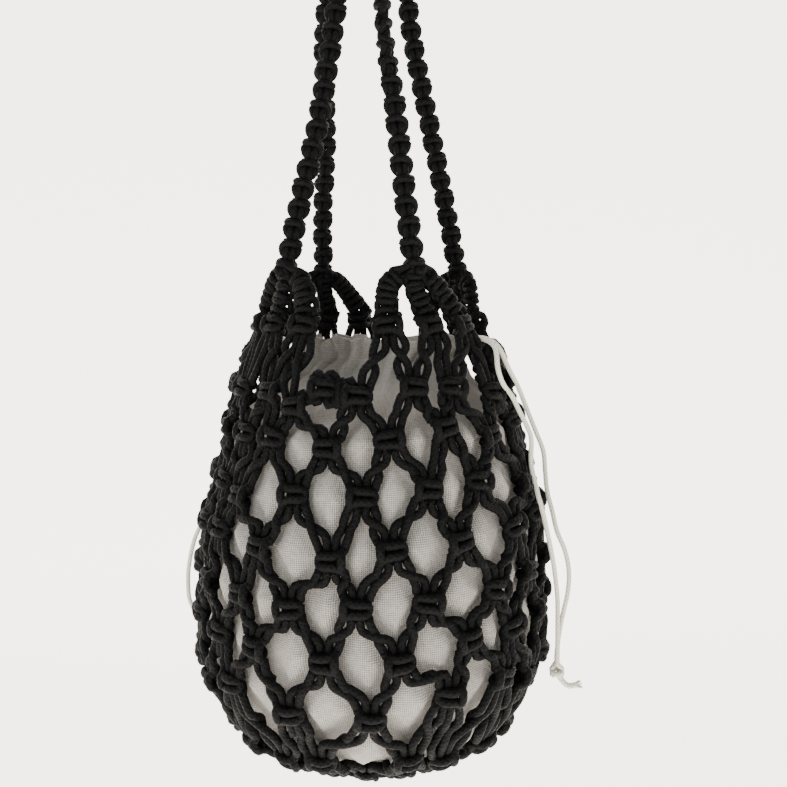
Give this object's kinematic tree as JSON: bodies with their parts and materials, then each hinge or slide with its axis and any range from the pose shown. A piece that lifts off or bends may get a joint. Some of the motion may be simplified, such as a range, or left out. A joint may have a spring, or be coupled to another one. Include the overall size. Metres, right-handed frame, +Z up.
{
  "type": "macrame shoulder bag with drawstring pouch",
  "caption": "Round open net bag of knotted black cord with knotted shoulder handles and a linen drawstring pouch inside.",
  "frame": {"origin": "the point where both handles hang, on the underside of their round tops", "axes": "+Z up, the bag's front faces -Y, +X to the viewer's right"},
  "size_m": [0.2415, 0.212, 0.5745],
  "materials": {
    "black_cord": "matte braided cord",
    "linen": "plain woven linen",
    "cream_cord": "smooth twisted cord"
  },
  "bodies": {
    "root": {"net": "black_cord", "base": "black_cord", "pouch": "linen", "handle_front": "black_cord", "handle_back": "black_cord", "column_front_left_1": "black_cord", "column_front_left_2": "black_cord", "column_front_left_3": "black_cord", "column_front_right_1": "black_cord", "column_front_right_2": "black_cord", "column_front_right_3": "black_cord", "column_back_right_1": "black_cord", "column_back_right_2": "black_cord", "column_back_right_3": "black_cord", "column_back_left_1": "black_cord", "column_back_left_2": "black_cord", "column_back_left_3": "black_cord", "drawstring_right_outer": "cream_cord", "drawstring_right_inner": "cream_cord", "drawstring_left_outer": "cream_cord", "drawstring_left_inner": "cream_cord", "string_knot_right": "cream_cord", "string_knot_left": "cream_cord"}
  },
  "joints": []
}
